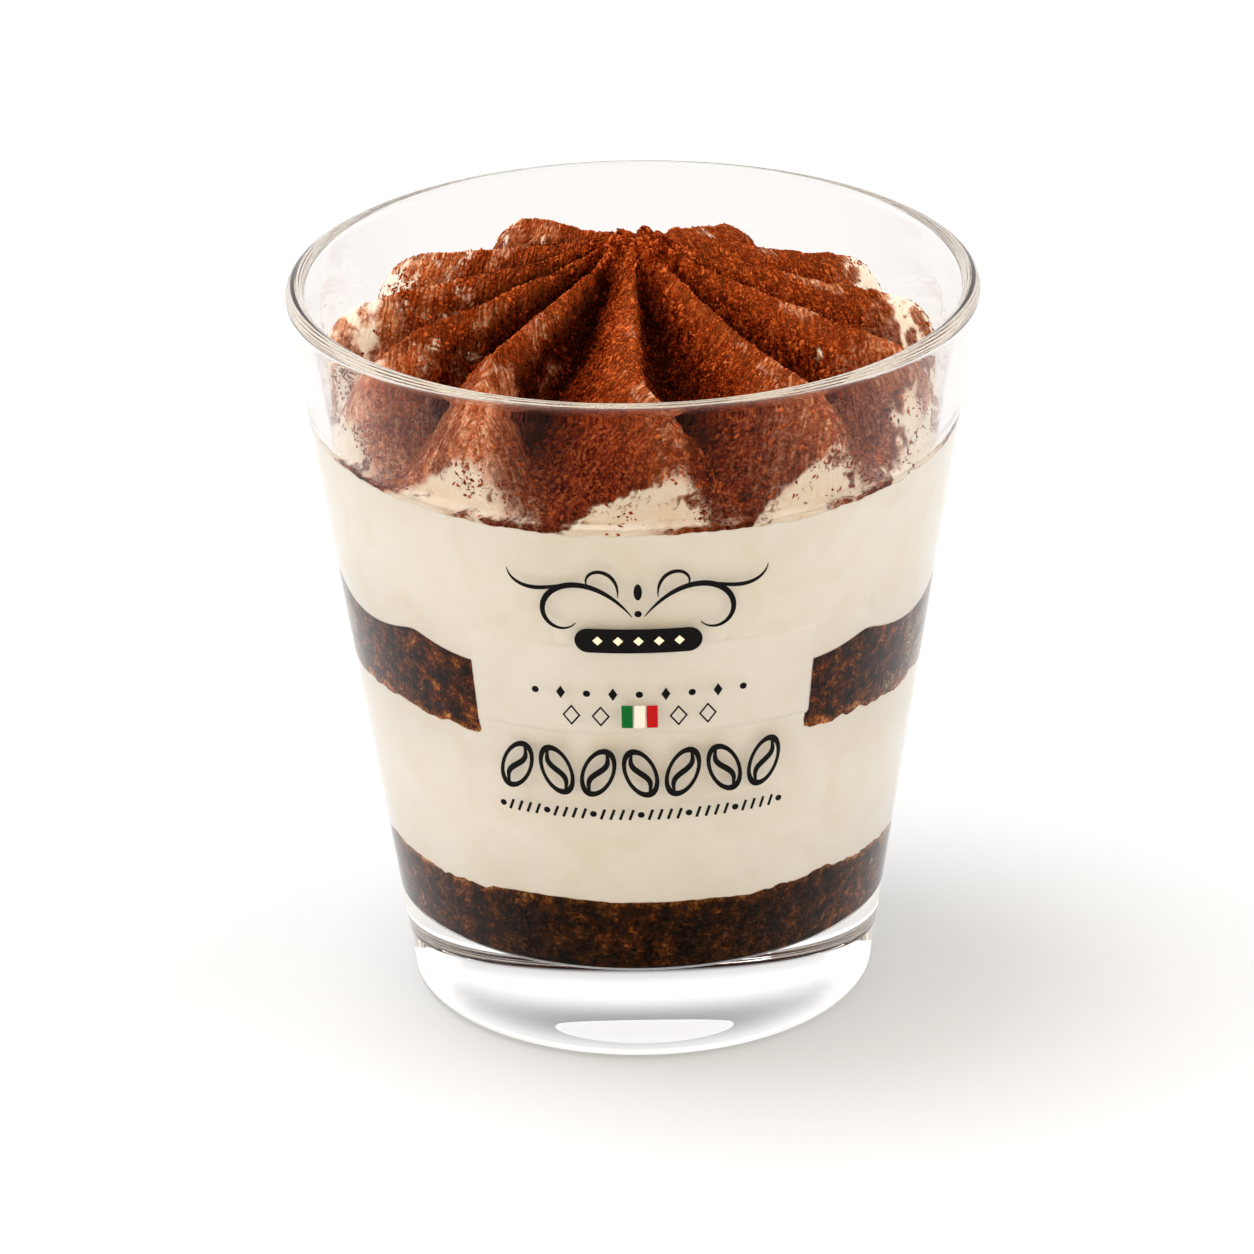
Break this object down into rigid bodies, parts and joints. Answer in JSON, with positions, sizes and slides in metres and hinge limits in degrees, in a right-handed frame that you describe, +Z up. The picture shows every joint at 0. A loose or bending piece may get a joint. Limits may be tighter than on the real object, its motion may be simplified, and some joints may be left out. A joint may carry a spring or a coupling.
{
  "type": "tiramisu in a glass",
  "caption": "Layered coffee sponge and mascarpone dessert in a tapered glass cup, topped with a star-piped cream rosette dusted with cocoa.",
  "frame": {"origin": "centre of the glass's foot, on the surface it stands on", "axes": "+Z up along the axis of the glass, -Y towards the printed front"},
  "size_m": [0.076, 0.076, 0.0876],
  "materials": {
    "glass": "clear pressed glass, fire polished",
    "sponge": "coffee-soaked sponge cake, moist and open-crumbed",
    "cream": "whipped mascarpone cream, smooth and matt",
    "dusted_cream": "piped cream under a coat of cocoa powder",
    "panel_ink": "opaque cream-coloured print"
  },
  "bodies": {
    "root": {"glass": "glass", "sponge_bottom": "sponge", "cream_lower": "cream", "sponge_middle": "sponge", "cream_upper": "cream", "cream_rosette": "dusted_cream", "label_panel": "panel_ink"}
  },
  "joints": []
}
